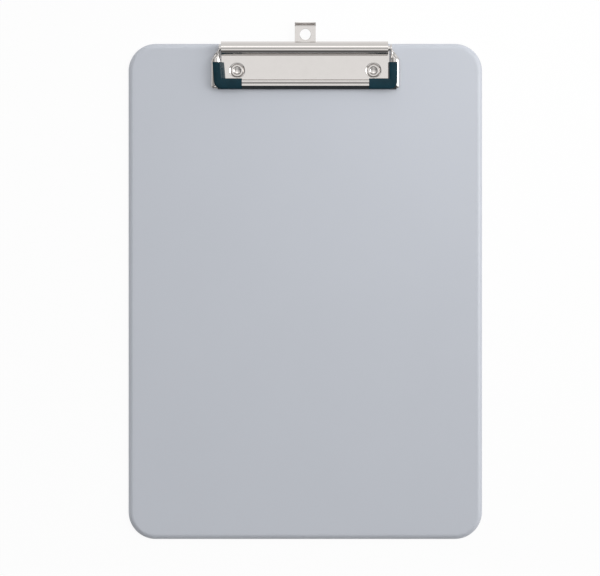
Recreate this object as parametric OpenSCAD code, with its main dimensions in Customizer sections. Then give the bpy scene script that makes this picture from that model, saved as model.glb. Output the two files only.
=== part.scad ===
// A4 clipboard with a low sprung clip, black corner grips and a pull-out hanging eye.
// The board lies face up on its back. +X is to the right, +Y towards the clip, +Z out of the face.
// The origin is the centre of the board's back. Heights in the clip are counted from the face.

/* [Board] */
// Width of the board
board_w = 227; // [200:1:260]
// Length of the board
board_l = 318; // [290:1:360]
// Thickness of the board
board_t = 3.5; // [3.4:0.1:6]
// Radius of the four corners
corner_r = 17.5; // [8:0.5:30]
// Rounding of the edge on the writing face
face_edge_r = 2.4; // [0.6:0.1:2.6]
// Rounding of the edge on the back
back_edge_r = 0.5; // [0.2:0.1:0.7]

/* [Clip plate and barrel] */
// Width of the clip plate and of the barrel rolled from it
clip_w = 107.8; // [96:0.2:130]
// Sheet thickness of the clip plate
plate_t = 0.9; // [0.7:0.1:1]
// Outer diameter of the barrel
barrel_d = 8.6; // [8.4:0.1:10]
// Distance from the board's upper edge to the barrel's axis
barrel_setback = 3.4; // [3:0.1:6]
// Open seam between the barrel's free edge and the plate
seam_gap = 0.3; // [0.2:0.05:0.6]
// Length of plate that runs on under the bail's bar
plate_underlap = 1.3; // [0.6:0.1:2]

/* [Bail] */
// Distance from the barrel's axis to the outer side of the bail's bar
bail_reach = 25.7; // [25:0.1:32]
// Width of the pressed channel that forms the bail
band_w = 5.8; // [5.6:0.1:7]
// Height of the channel's crown above the face
band_top = 4.3; // [4:0.1:5]
// Height of the channel's lower edges above the clip plate
band_lift = 0.8; // [0.7:0.1:1]
// Radius of the channel's rounded top
crown_r = 4; // [3.8:0.1:8]
// Sheet thickness of the bail
bail_t = 0.8; // [0.6:0.1:1]
// Gap on each side between the clip plate and the bail
side_gap = 0.5; // [0.3:0.1:1]
// Length over which each shoulder slopes out from the ear to the arm
shoulder_run = 7; // [4:0.1:8]
// Length over which each ear's upper edge slopes down to the arm
ear_run = 8; // [6:0.1:10]
// Outer corner radius of the bail
bail_corner_r = 1.5; // [0.5:0.1:1.8]

/* [Hinge] */
// Diameter of the hinge pin
pin_d = 3; // [2.6:0.1:3.4]
// Radial running clearance of the pin in the barrel's end caps
pin_clearance = 0.05; // [0.03:0.01:0.1]
// Radial clearance of the pin where it is staked in the bail's ears
staked_clearance = 0.02; // [0.01:0.01:0.05]
// Wire diameter of the torsion springs
wire_d = 1; // [0.8:0.1:1.1]
// Turns in each torsion spring
spring_turns = 8; // [5:1:10]
// Space between neighbouring turns
turn_gap = 0.5; // [0.45:0.05:0.8]
// Radial gap between the pin and the springs
coil_gap = 0.25; // [0.2:0.05:0.3]
// Distance from each end of the barrel to its spring
spring_inset = 4; // [3:0.5:12]

/* [Jaw strip and corner grips] */
// Wall of the jaw strip outside the bar
strip_wall = 0.5; // [0.4:0.1:0.8]
// Width of the strip's lap over the bar
strip_lap = 1.6; // [1.3:0.1:2]
// Distance from the bail's outer sides to the ends of the strip
strip_inset = 3; // [2.6:0.1:5]
// Gap between the closed jaw and the face
jaw_gap = 0.1; // [0.05:0.05:0.2]
// Gap between pressed-on plastic and the steel
fit_gap = 0.05; // [0.02:0.01:0.1]
// Width of the grips' legs on the arms
grip_w = 5.3; // [5:0.1:6]
// Overhang of the grips on the inner side of the bail
grip_overhang = 0.6; // [0.6:0.1:1]
// Thickness of the grips over the jaw strip
grip_roof = 0.55; // [0.4:0.05:1]
// Rounding of the grips' upper edges
grip_edge_r = 1.1; // [0.5:0.1:1.3]
// Length of a grip along the arm
grip_arm_len = 15.7; // [14:0.1:18]
// Length of a grip along the bar
grip_bar_len = 18.2; // [14:0.1:30]
// Thickness of the grips' hooks inside the channel
hook_t = 0.8; // [0.6:0.1:1]
// Length of each hook
hook_len = 6; // [3:0.1:8]

/* [Rivets] */
// Distance from the ends of the clip plate to the rivets
rivet_inset = 10.2; // [9:0.1:20]
// Distance from the barrel's axis to the rivets
rivet_drop = 14; // [12:0.1:14.5]
// Diameter of the pressed dish round each rivet
dish_d = 9.8; // [9.4:0.1:11]
// Depth of the dish
dish_depth = 0.45; // [0.3:0.05:0.6]
// Diameter of the rivet's head
rivet_head_d = 7.6; // [7:0.1:8]
// Thickness of the rivet's head
rivet_head_t = 0.7; // [0.5:0.1:0.8]
// Diameter of the hollow in the rivet's head
rivet_hollow_d = 4.6; // [4:0.1:5.4]
// Diameter of the rivet's shank
rivet_shank_d = 4; // [3.6:0.1:4.4]
// Diameter of the rivet's set end
rivet_tail_d = 7.4; // [6.4:0.1:8]
// Thickness of the rivet's set end
rivet_tail_t = 1; // [0.8:0.1:1.1]
// Depth of the recess in the board's back round each set end
tail_recess = 1.2; // [1.15:0.05:1.4]

/* [Hanging eye] */
// Width of the hanging eye
eye_w = 13.5; // [12:0.1:18]
// Thickness of the hanging eye
eye_t = 1; // [0.8:0.1:1.2]
// Distance that the pulled-out eye stands beyond the board's upper edge
eye_out = 13.4; // [12.6:0.1:14]
// Diameter of the hole in the eye
eye_hole_d = 7; // [5:0.1:8]
// Distance from the eye's tip to the centre of the hole
eye_hole_setback = 7.5; // [7:0.1:8]
// Height of the finger lip above the eye
lip_h = 2.8; // [2:0.1:4]
// Rounding inside the finger lip
lip_r = 1; // [0.6:0.1:1.5]
// Rounding of the finger lip's upper inner edge
lip_edge_r = 0.8; // [0.3:0.1:0.8]
// Width of the foot that stops the eye from coming out
foot_w = 19.5; // [18.6:0.1:26]
// Length of the foot
foot_len = 3; // [2:0.1:3.2]
// Distance from the barrel's axis to the foot when the eye is out
foot_drop = 4.6; // [3:0.1:5]
// Side clearance of the eye in its channel
eye_side_gap = 0.3; // [0.2:0.05:0.4]
// Clearance above and below the eye in its channel
eye_gap = 0.1; // [0.05:0.05:0.15]
// Space left between the pushed-in lip and the barrel
lip_stop_gap = 0.5; // [0.3:0.1:1]

/* [Hidden] */

// Colours
board_grey = [0.72, 0.74, 0.78];
nickel = [0.80, 0.78, 0.77];
spring_steel = [0.45, 0.45, 0.46];
grip_black = [0.12, 0.17, 0.20];
strip_black = [0.17, 0.19, 0.21];

// Smoothness of round shapes, the overshoot of cuts, and that of the blocks that trim the bail
$fn = 64;
eps = 0.5;
trim_over = 1;

// Barrel, measured from the face
barrel_r = barrel_d / 2;
bore_r = barrel_r - plate_t;
axis_y = board_l / 2 - barrel_setback;

// Bail, on the right half
band_in = clip_w / 2 + side_gap;
bail_half = band_in + band_w;
ear_out = band_in + bail_t;
band_low = plate_t + band_lift;
ear_r = barrel_r - band_low;
bar_outer = -bail_reach;
bar_inner = bar_outer + band_w;
crown_z = band_top - crown_r;
edge_z = crown_z + sqrt(crown_r * crown_r - band_w * band_w / 4);

// Clip plate, with y counted from the barrel's axis
plate_end = bar_inner - plate_underlap;

// Grips and strip
grip_gap = 0.3;
grip_low = plate_t + grip_gap;
grip_top = band_top + strip_wall + fit_gap + grip_roof;
grip_in = band_w + grip_overhang;
grip_corner_x = bail_half - grip_in;
grip_corner_y = bar_outer + grip_in;
grip_bar_w = grip_in + strip_wall;
grip_bend_drop = grip_bar_w - grip_w;
tongue_h = 0.7;
hook_h = 0.8;
hook_inset = 1;

// Springs
coil_r = pin_d / 2 + coil_gap + wire_d / 2;
turn_pitch = wire_d + turn_gap;
coil_len = spring_turns * turn_pitch;
coil_start = clip_w / 2 - plate_t - spring_inset;
leg_reach = bore_r - wire_d / 2;
leg_len = sqrt(leg_reach * leg_reach - coil_r * coil_r);
tang_gap = 0.1;
tang_hole_r = wire_d / 2 + tang_gap;

// Rivets
rivet_x = clip_w / 2 - rivet_inset;
dish_r = dish_d / 2;
dish_floor_r = dish_r - dish_depth * 1.4;
dish_boss_r = dish_floor_r + plate_t * 0.6;
seat_gap = 0.3;
seat_floor_gap = 0.05;
seat_depth = dish_depth + seat_floor_gap;
shank_gap = 0.1;
rivet_dome = 0.15;

// Hanging eye, with its tip and travel along y from the barrel's axis
eye_top = -eye_gap;
eye_low = eye_top - eye_t;
eye_tip = barrel_setback + eye_out;
eye_travel = eye_tip - eye_t - barrel_r - lip_stop_gap;
channel_depth = eye_t + 2 * eye_gap;
foot_gap = 0.3;

// Outline of the board's edge: x runs outwards to reach, y from the back to the face
module edge_profile(reach) {
  face_in = reach - face_edge_r;
  back_in = reach - back_edge_r;
  square([face_in, board_t]);
  square([back_in, board_t - face_edge_r]);
  translate([0, back_edge_r])
    square([reach, board_t - face_edge_r - back_edge_r]);
  intersection() {
    translate([face_in, board_t - face_edge_r])
      circle(face_edge_r);
    translate([face_in, board_t - face_edge_r])
      square(face_edge_r);
  }
  intersection() {
    translate([back_in, back_edge_r])
      circle(back_edge_r);
    translate([back_in, 0])
      square(back_edge_r);
  }
}

// One straight side of the board, facing +X
module board_side(inner_half, length) {
  translate([inner_half, 0, 0])
    rotate([90, 0, 0])
      linear_extrude(length, center = true)
        edge_profile(corner_r);
}

// The moulded blank with its rounded corners and edges
module board_blank() {
  half_w = board_w / 2 - corner_r;
  half_l = board_l / 2 - corner_r;
  translate([-half_w, -half_l, 0])
    cube([2 * half_w, 2 * half_l, board_t]);
  for (turn = [0, 180]) rotate(turn) {
    board_side(half_w, 2 * half_l);
    rotate(90)
      board_side(half_l, 2 * half_w);
    translate([half_w, half_l, 0])
      rotate_extrude(angle = 90)
        edge_profile(corner_r);
    translate([-half_w, half_l, 0])
      rotate(90)
        rotate_extrude(angle = 90)
          edge_profile(corner_r);
  }
}

// Moves from the origin to the face below the barrel's axis
module on_face() {
  translate([0, axis_y, board_t])
    children();
}

// Extrudes a section of the Y-Z plane along X, to both sides of the middle
module along_x(length) {
  rotate([90, 0, 90])
    linear_extrude(length, center = true)
      children();
}

// A round bar or bore along X
module round_x(radius, length) {
  rotate([0, 90, 0])
    cylinder(r = radius, h = length, center = true);
}

// Both rivet places, on the face
module at_rivets() {
  for (side = [-1, 1])
    translate([side * rivet_x, -rivet_drop, 0])
      children();
}

module board() {
  color(board_grey)
    difference() {
      board_blank();
      on_face() {
        // seats for the dished plate, holes and back recesses for the rivets
        at_rivets() {
          translate([0, 0, -seat_depth])
            cylinder(r = dish_boss_r + seat_gap, h = seat_depth + eps);
          translate([0, 0, -board_t - eps])
            cylinder(r = rivet_shank_d / 2 + shank_gap, h = board_t + 2 * eps);
          translate([0, 0, -board_t - eps])
            cylinder(r = rivet_tail_d / 2 + 2 * seat_gap, h = tail_recess + eps);
        }
        // channel for the hanging eye and the wider pocket for its foot
        channel_half = eye_w / 2 + eye_side_gap;
        translate([-channel_half, -foot_drop - eps, -channel_depth])
          cube([2 * channel_half, foot_drop + barrel_setback + 2 * eps, channel_depth + eps]);
        pocket_half = foot_w / 2 + eye_side_gap;
        pocket_len = foot_len + eye_travel + foot_gap;
        translate([-pocket_half, -foot_drop - pocket_len, -channel_depth])
          cube([2 * pocket_half, pocket_len, channel_depth + eps]);
      }
    }
}

// Section of the clip plate and of the barrel rolled from its upper edge
module plate_section() {
  translate([plate_end, 0])
    square([-plate_end, plate_t]);
  difference() {
    translate([0, barrel_r])
      circle(barrel_r);
    translate([0, barrel_r])
      circle(bore_r);
    translate([-barrel_d, -eps])
      square([barrel_d, plate_t + seam_gap + eps]);
  }
}

module base_plate() {
  color(nickel)
    on_face()
      difference() {
        union() {
          along_x(clip_w)
            plate_section();
          for (side = [-1, 1])
            translate([side * (clip_w - plate_t) / 2, 0, barrel_r])
              round_x(barrel_r, plate_t);
          at_rivets()
            translate([0, 0, -dish_depth])
              cylinder(r = dish_boss_r, h = dish_depth + plate_t / 2);
        }
        translate([0, 0, barrel_r])
          round_x(pin_d / 2 + pin_clearance, clip_w + 2 * eps);
        at_rivets() {
          translate([0, 0, plate_t - dish_depth])
            cylinder(r1 = dish_floor_r, r2 = dish_r, h = dish_depth);
          translate([0, 0, plate_t])
            cylinder(r = dish_r, h = eps);
          translate([0, 0, -dish_depth - eps])
            cylinder(r = rivet_shank_d / 2 + shank_gap, h = dish_depth + plate_t + 2 * eps);
        }
      }
}

// A hollow-headed rivet with its set end in the board's back recess
module rivet(side) {
  head_low = plate_t - dish_depth;
  head_top = head_low + rivet_head_t;
  head_r = rivet_head_d / 2;
  hollow_r = rivet_hollow_d / 2;
  shank_r = rivet_shank_d / 2;
  shank_bore_r = shank_r * 0.6;
  tail_top = tail_recess - board_t;
  tail_low = tail_top - rivet_tail_t;
  hollow_low = head_top - rivet_head_t * 1.2;
  color(nickel)
    on_face()
      translate([side * rivet_x, -rivet_drop, 0])
        difference() {
          union() {
            translate([0, 0, head_low])
              cylinder(r = head_r, h = rivet_head_t - rivet_dome);
            translate([0, 0, head_top - rivet_dome])
              cylinder(r1 = head_r, r2 = head_r - rivet_dome * 2, h = rivet_dome);
            translate([0, 0, tail_low])
              cylinder(r = shank_r, h = head_low - tail_low);
            translate([0, 0, tail_low])
              cylinder(r1 = rivet_tail_d / 2 - rivet_dome * 2, r2 = rivet_tail_d / 2, h = rivet_dome);
            translate([0, 0, tail_low + rivet_dome])
              cylinder(r = rivet_tail_d / 2, h = rivet_tail_t - rivet_dome);
          }
          translate([0, 0, hollow_low])
            cylinder(r1 = shank_bore_r, r2 = hollow_r, h = head_top - hollow_low);
          translate([0, 0, head_top])
            cylinder(r = hollow_r, h = eps);
          translate([0, 0, tail_low - eps])
            cylinder(r = shank_bore_r, h = rivet_tail_t + eps);
        }
}

// Filled outline of the pressed channel: x = 0 at the outer flank, grown by a margin on its sides and crown
module band_outline(grow, low) {
  intersection() {
    translate([band_w / 2, crown_z])
      circle(crown_r + grow);
    translate([-grow, low])
      square([band_w + 2 * grow, band_top + grow - low]);
  }
}

// Section of the pressed channel
module band_section(grow = 0) {
  difference() {
    band_outline(grow, band_low - grow);
    band_outline(-bail_t - grow, -eps);
  }
}

// Sweeps a channel section along the right half of the bail, with a mitred corner
module sweep_half_bail() {
  reach = band_w + trim_over;
  // bar
  intersection() {
    translate([bail_half / 2, bar_outer, 0])
      along_x(bail_half + 2 * trim_over)
        children();
    translate([0, 0, -trim_over])
      linear_extrude(band_top + 2 * trim_over)
        polygon([[0, bar_outer - trim_over], [bail_half + trim_over, bar_outer - trim_over],
          [bail_half - reach, bar_outer + reach], [0, bar_outer + reach]]);
  }
  // arm, cut off along its sloping shoulder
  shoulder_slope = shoulder_run / (bail_half - ear_out);
  intersection() {
    translate([bail_half, 0, 0])
      rotate([90, 0, 0])
        linear_extrude(bail_reach + trim_over)
          mirror([1, 0])
            children();
    translate([0, 0, -trim_over])
      linear_extrude(band_top + 2 * trim_over)
        polygon([[bail_half + trim_over, bar_outer - trim_over],
          [bail_half + trim_over, -shoulder_run - shoulder_slope * trim_over],
          [ear_out, 0], [bail_half - reach, 0], [bail_half - reach, bar_outer + reach]]);
  }
}

// Rounds the bail's outer corner off
module corner_waste(radius) {
  translate([bail_half - radius, bar_outer + radius, -trim_over])
    linear_extrude(band_top + 2 * trim_over)
      difference() {
        translate([0, -radius - trim_over])
          square(radius + trim_over);
        circle(radius);
      }
}

// One ear, a flat lug round the pin that runs on into the arm's inner flank
module ear() {
  translate([band_in + bail_t / 2, 0, 0])
    along_x(bail_t) {
      translate([0, barrel_r])
        circle(ear_r);
      polygon([[0, band_low], [0, barrel_r + ear_r], [-ear_run, edge_z], [-ear_run, band_low]]);
    }
}

module bail() {
  color(nickel)
    on_face()
      difference() {
        for (side = [0, 1]) mirror([side, 0, 0]) {
          difference() {
            sweep_half_bail()
              band_section();
            corner_waste(bail_corner_r);
          }
          ear();
        }
        translate([0, 0, barrel_r])
          round_x(pin_d / 2 + staked_clearance, 2 * bail_half);
      }
}

module hinge_pin() {
  color(nickel)
    on_face()
      translate([0, 0, barrel_r])
        difference() {
          round_x(pin_d / 2, 2 * ear_out);
          for (side = [-1, 1])
            translate([side * (coil_start - coil_len), 0, 0])
              cylinder(r = tang_hole_r, h = pin_d + 2 * eps, center = true);
        }
}

// Points of a coil's centre line, from its outer end towards the barrel's middle
function coil_point(turn) = [-turn * turn_pitch, -coil_r * sin(360 * turn), coil_r * cos(360 * turn)];

// One open torsion spring, with a leg against the barrel and a tang in the pin
module torsion_spring(side) {
  ring_steps = 8;
  wire_sides = 6;
  rings = spring_turns * ring_steps;
  wire_r = wire_d / 2;
  points = [for (ring = [0 : rings]) let (turn = ring / ring_steps, centre = coil_point(turn))
    for (corner = [0 : wire_sides - 1]) let (a = 360 * corner / wire_sides)
      centre + wire_r * [cos(a), -sin(a) * sin(360 * turn), sin(a) * cos(360 * turn)]];
  faces = [
    for (ring = [0 : rings - 1]) for (corner = [0 : wire_sides - 1])
      let (p = ring * wire_sides + corner, q = ring * wire_sides + (corner + 1) % wire_sides)
        for (face = [[p, p + wire_sides, q], [q, p + wire_sides, q + wire_sides]]) face,
    [for (corner = [0 : wire_sides - 1]) corner],
    [for (corner = [wire_sides - 1 : -1 : 0]) rings * wire_sides + corner]];
  color(spring_steel)
    on_face()
      translate([0, 0, barrel_r])
        mirror([side < 0 ? 1 : 0, 0, 0])
          translate([coil_start, 0, 0]) {
            polyhedron(points, faces);
            // straight leg that leaves the coil on a tangent and bears on the barrel
            translate([0, 0, coil_r])
              rotate([-90, 0, 0])
                cylinder(r = wire_r, h = leg_len);
            // tang that turns in to the pin's cross hole
            translate([-coil_len, 0, 0])
              cylinder(r = wire_r, h = coil_r);
          }
}

module jaw_strip() {
  metal_in = bail_t + fit_gap;
  color(strip_black)
    on_face()
      translate([0, bar_outer, 0])
        along_x(2 * (bail_half - strip_inset))
          difference() {
            intersection() {
              band_outline(strip_wall, jaw_gap);
              translate([-strip_wall, 0])
                square([strip_wall + strip_lap, band_top]);
            }
            band_section(fit_gap);
            // room above the tongue that holds the strip inside the channel
            intersection() {
              band_outline(-metal_in, -eps);
              translate([metal_in - eps, band_low + tongue_h])
                square([band_w, band_top]);
            }
          }
}

// Section of a grip's leg: x = 0 on its inner side, running outwards
module grip_section(width) {
  translate([0, grip_low])
    square([width, grip_top - grip_low - grip_edge_r]);
  translate([grip_edge_r, grip_low])
    square([width - 2 * grip_edge_r, grip_top - grip_low]);
  for (x = [grip_edge_r, width - grip_edge_r])
    translate([x, grip_top - grip_edge_r])
      circle(grip_edge_r);
}

// A grip's hook under the channel's inner edge: x = 0 on the grip's inner side
module hook_section() {
  hook_end = grip_overhang + bail_t + fit_gap + hook_t;
  translate([0, grip_low])
    square([hook_end, band_low - fit_gap - grip_low]);
  translate([hook_end - hook_t, grip_low])
    square([hook_t, band_low + hook_h - grip_low]);
}

// Runs a section up the arm from the inner corner of the right grip
module arm_leg(length) {
  rotate([90, 0, 0])
    translate([0, 0, -length])
      linear_extrude(length)
        children();
}

// Runs a section along the bar from the inner corner of the right grip
module bar_leg(length) {
  rotate([90, 0, -90])
    linear_extrude(length)
      children();
}

module corner_grip(side) {
  arm_len = grip_arm_len - grip_w;
  bar_len = grip_bar_len - grip_w;
  color(grip_black)
    on_face()
      mirror([side < 0 ? 1 : 0, 0, 0]) {
        difference() {
          translate([grip_corner_x, grip_corner_y, 0]) {
            // the arm's leg and the outer bend start below the inner corner, as the bar's leg is wider
            translate([0, -grip_bend_drop, 0]) {
              arm_leg(arm_len + grip_bend_drop)
                grip_section(grip_w);
              rotate(-90)
                rotate_extrude(angle = 90)
                  grip_section(grip_w);
            }
            bar_leg(bar_len)
              grip_section(grip_bar_w);
            // carries the bar's leg in under the arm's rounded edge
            translate([grip_edge_r, 0, 0])
              bar_leg(grip_edge_r)
                grip_section(grip_w - grip_edge_r);
          }
          // the whole channel, and the jaw strip's lap over it
          sweep_half_bail()
            band_outline(fit_gap, -eps);
          translate([0, bar_outer, 0])
            along_x(2 * (bail_half - strip_inset + fit_gap))
              intersection() {
                band_outline(strip_wall + fit_gap, -eps);
                translate([-grip_bar_w, -eps])
                  square([grip_bar_w + strip_lap + fit_gap, 2 * band_top]);
              }
        }
        translate([grip_corner_x, grip_corner_y, 0]) {
          translate([0, arm_len - hook_len - hook_inset, 0])
            arm_leg(hook_len)
              hook_section();
          translate([hook_inset + hook_len - bar_len, 0, 0])
            bar_leg(hook_len)
              hook_section();
        }
      }
}

// The eye slides under the barrel; its lip is turned up at the tip
module hanging_eye() {
  lip_in = eye_tip - eye_t;
  color(nickel)
    on_face()
      difference() {
        union() {
          translate([-eye_w / 2, -foot_drop - foot_len, eye_low])
            cube([eye_w, foot_drop + foot_len + eye_tip, eye_t]);
          translate([-foot_w / 2, -foot_drop - foot_len, eye_low])
            cube([foot_w, foot_len, eye_t]);
          translate([-eye_w / 2, lip_in, eye_low])
            cube([eye_w, eye_t, eye_t + lip_h]);
          // rounding between the eye and its lip
          translate([0, lip_in, eye_top])
            along_x(eye_w)
              difference() {
                translate([-lip_r, -eye_t / 2])
                  square([lip_r + eye_t / 2, lip_r + eye_t / 2]);
                translate([-lip_r, lip_r])
                  circle(lip_r);
              }
        }
        translate([0, eye_tip - eye_hole_setback, eye_low - eps])
          cylinder(r = eye_hole_d / 2, h = eye_t + 2 * eps);
        // the lip's upper inner edge is rounded for the finger
        translate([0, lip_in, eye_top + lip_h])
          along_x(eye_w + 2 * eps)
            difference() {
              translate([-eps, -lip_edge_r])
                square([lip_edge_r + eps, lip_edge_r + eps]);
              translate([lip_edge_r, -lip_edge_r])
                circle(lip_edge_r);
            }
      }
}

board();
base_plate();
rivet(-1);  // rivet_left
rivet(1);  // rivet_right
bail();
hinge_pin();
torsion_spring(-1);  // torsion_spring_left
torsion_spring(1);  // torsion_spring_right
corner_grip(-1);  // corner_grip_left
corner_grip(1);  // corner_grip_right
jaw_strip();
hanging_eye();
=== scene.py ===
"""Looks of a flat A4 clipboard: moulded board, sprung nickel clip, corner grips and hanging eye.

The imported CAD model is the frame, and every place below comes from its nodes' boxes or from a
named size in millimetres. +X runs to the right, +Y to the clip and +Z out of the writing face,
and the origin is the centre of the board's back. New pieces are numpy surfaces.
"""

import logging
from dataclasses import dataclass
from enum import Enum

import bmesh
import bpy
import numpy as np
from bpy.types import ID, Material, Node, NodeSocket, NodeTree, Object
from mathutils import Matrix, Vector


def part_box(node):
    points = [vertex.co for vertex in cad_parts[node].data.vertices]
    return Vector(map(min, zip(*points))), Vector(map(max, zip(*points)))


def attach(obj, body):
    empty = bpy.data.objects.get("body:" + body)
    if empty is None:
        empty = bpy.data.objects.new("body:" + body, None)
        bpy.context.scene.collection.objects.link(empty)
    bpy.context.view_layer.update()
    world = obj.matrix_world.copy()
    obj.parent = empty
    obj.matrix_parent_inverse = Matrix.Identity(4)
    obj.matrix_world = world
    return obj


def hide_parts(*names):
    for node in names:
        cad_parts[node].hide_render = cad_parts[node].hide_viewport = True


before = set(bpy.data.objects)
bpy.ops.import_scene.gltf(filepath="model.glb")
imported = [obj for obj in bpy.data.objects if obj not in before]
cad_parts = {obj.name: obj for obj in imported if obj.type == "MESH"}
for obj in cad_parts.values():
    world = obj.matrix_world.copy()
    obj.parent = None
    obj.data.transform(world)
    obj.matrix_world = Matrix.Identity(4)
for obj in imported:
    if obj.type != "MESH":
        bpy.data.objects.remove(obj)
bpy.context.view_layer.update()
MM = 0.001
WELD_MM = 0.002
LOG = logging.getLogger("clipboard")
Array = np.ndarray
Stops = tuple[tuple[float, float], ...]


class Body(Enum):
    """The CAD bodies that a piece can ride on."""

    BASE = "base"
    CLAMP = "clamp"
    EYE = "eye"


class Side(Enum):
    """Left or right half of the clip, as the sign of X."""

    LEFT = -1
    RIGHT = 1

    @property
    def label(self) -> str:
        """The side's name in the names of nodes and pieces."""
        return self.name.lower()


def cad_box(node: str) -> Array:
    """Gives a CAD node's lowest and highest corner, in millimetres."""
    return np.array([list(corner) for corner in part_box(node)]) / MM


@dataclass(frozen=True)
class Datum:
    """Heights and lines that all sub-assemblies share, in millimetres."""

    face_z: float
    axis_y: float
    axis_z: float

    @classmethod
    def from_frame(cls) -> "Datum":
        """Reads the writing face and the barrel's axis from the CAD nodes' boxes."""
        pin = cad_box("hinge_pin").mean(axis=0)
        return cls(face_z=cad_box("board")[1, 2], axis_y=pin[1], axis_z=pin[2])

    @property
    def on_face(self) -> Array:
        """The point of the writing face straight below the barrel's axis."""
        return np.array([0.0, self.axis_y, self.face_z])

    @property
    def on_axis(self) -> Array:
        """The middle of the barrel's axis."""
        return np.array([0.0, self.axis_y, self.axis_z])

    @property
    def barrel_r(self) -> float:
        """Height of the barrel's axis above the face, which is the barrel's radius."""
        return self.axis_z - self.face_z


# ---- mesh making ----


def add_object(name: str, data: ID) -> Object:
    """Puts a mesh, a light or a camera into the scene.

    Args:
        name: Name of the object.
        data: The mesh, light or camera.

    Returns:
        Its object, at the origin.
    """
    made = bpy.data.objects.new(name, data)
    bpy.context.scene.collection.objects.link(made)
    return made


class Shell:
    """Collects grids of points, in millimetres, and makes one welded mesh of them."""

    def __init__(self, origin: Array | float = 0.0) -> None:
        """Starts an empty shell.

        Args:
            origin: Point that all grids are counted from.
        """
        self.origin = origin
        self.points: list[Array] = []
        self.faces: list[list[int]] = []
        self.count = 0

    def grid(self, points: Array, closed_u: bool = False, closed_v: bool = False, flip: bool = False) -> None:
        """Adds a grid of quads, one between each four neighbouring points.

        Args:
            points: Array of shape (rows u, columns v, 3).
            closed_u: Joins the last row to the first.
            closed_v: Joins the last column to the first.
            flip: Turns the faces round; else u, v and the normal are right-handed.
        """
        rows, columns = points.shape[:2]
        index = np.arange(rows * columns).reshape(rows, columns) + self.count
        index = np.pad(index, ((0, int(closed_u)), (0, int(closed_v))), mode="wrap")
        quads = np.stack([index[:-1, :-1], index[1:, :-1], index[1:, 1:], index[:-1, 1:]], axis=-1)
        quads = quads.reshape(-1, 4)
        self.faces += (quads[:, ::-1] if flip else quads).tolist()
        self.points.append(points.reshape(-1, 3))
        self.count += rows * columns

    def cap(self, ring: Array) -> None:
        """Closes a ring of points with one flat face.

        Args:
            ring: Array of shape (points, 3), in order.
        """
        self.faces.append(list(range(self.count, self.count + len(ring))))
        self.points.append(ring)
        self.count += len(ring)

    def rod(self, rings: Array) -> None:
        """Adds rings joined to a skin, and closes the first and the last.

        Args:
            rings: Array of shape (rings, points round, 3).
        """
        self.grid(rings, closed_v=True)
        for end in (rings[0], rings[-1]):
            self.cap(end)

    def build(self, name: str, closed: bool = True) -> Object:
        """Makes the object, welds its seams and poles, and points a closed skin outwards.

        Args:
            name: Name of the object and its mesh.
            closed: True for a closed skin, False for a sheet that gets a wall later.

        Returns:
            The object, at the origin, with its place in its mesh.
        """
        mesh = bpy.data.meshes.new(name)
        places = (np.vstack(self.points) + self.origin) * MM
        mesh.from_pydata(places.tolist(), [], self.faces)
        skin = bmesh.new()
        skin.from_mesh(mesh)
        bmesh.ops.remove_doubles(skin, verts=skin.verts, dist=WELD_MM * MM)
        if closed:
            bmesh.ops.recalc_face_normals(skin, faces=skin.faces)
        skin.to_mesh(mesh)
        skin.free()
        return add_object(name, mesh)


def modify(piece: Object, kind: str, **settings: object) -> None:
    """Adds a modifier to a piece and puts its result into the piece's mesh.

    Args:
        piece: The piece.
        kind: Type of the modifier.
        settings: Properties of the modifier.
    """
    modifier = piece.modifiers.new(kind.lower(), kind)
    for key, value in settings.items():
        setattr(modifier, key, value)
    depsgraph = bpy.context.evaluated_depsgraph_get()
    mesh = bpy.data.meshes.new_from_object(piece.evaluated_get(depsgraph))
    piece.modifiers.clear()
    mesh.name = piece.data.name
    piece.data = mesh


def thicken(piece: Object, wall: float) -> None:
    """Gives a sheet its wall, in millimetres, half to each side."""
    modify(piece, "SOLIDIFY", thickness=wall * MM, offset=0.0, use_even_offset=True)


def break_edges(piece: Object, width: float, angle: float = 60.0, segments: int = 3) -> None:
    """Rounds the edges, over a width in millimetres, that are sharper than an angle in degrees."""
    modify(piece, "BEVEL", width=width * MM, segments=segments, limit_method="ANGLE",
           angle_limit=np.radians(angle), use_clamp_overlap=True)


def press(shell: Shell, name: str, wall: float, edge: float) -> Object:
    """Makes a sheet-metal part from its middle surface.

    Args:
        shell: The middle surface.
        name: Name of the part.
        wall: Thickness of the sheet in millimetres.
        edge: Width of its broken edges in millimetres.

    Returns:
        The part with its wall and its edges.
    """
    part = shell.build(name, closed=False)
    thicken(part, wall)
    break_edges(part, edge, angle=50.0)
    return part


def merge(name: str, parts: list[Object]) -> Object:
    """Joins objects into one and removes them.

    Args:
        name: Name of the joined object.
        parts: The objects, all at the origin.

    Returns:
        The joined object.
    """
    skin = bmesh.new()
    for part in parts:
        skin.from_mesh(part.data)
        bpy.data.objects.remove(part)
    mesh = bpy.data.meshes.new(name)
    skin.to_mesh(mesh)
    skin.free()
    return add_object(name, mesh)


def seat(piece: Object, body: Body, finish: "Finish", *nodes: str) -> None:
    """Shades and dresses a finished piece, makes it ride on its body and reports it.

    Its normals are weighted by area, which keeps its flat faces flat.

    Args:
        piece: The piece, in place.
        body: The CAD body that it moves with.
        finish: Its finish.
        nodes: CAD nodes that it stands for.
    """
    piece.data.shade_smooth()
    modify(piece, "WEIGHTED_NORMAL", mode="FACE_AREA")
    piece.data.materials.clear()
    piece.data.materials.append(finish.material())
    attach(piece, body.value)
    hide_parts(*nodes)
    LOG.info("%s: %d faces, finish %s", piece.name, len(piece.data.polygons), finish.name)


# ---- curves ----


def unit(angle: Array) -> Array:
    """Gives the directions (cos a, sin a) of angles in radians, along a new last axis."""
    return np.stack([np.cos(angle), np.sin(angle)], axis=-1)


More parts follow.
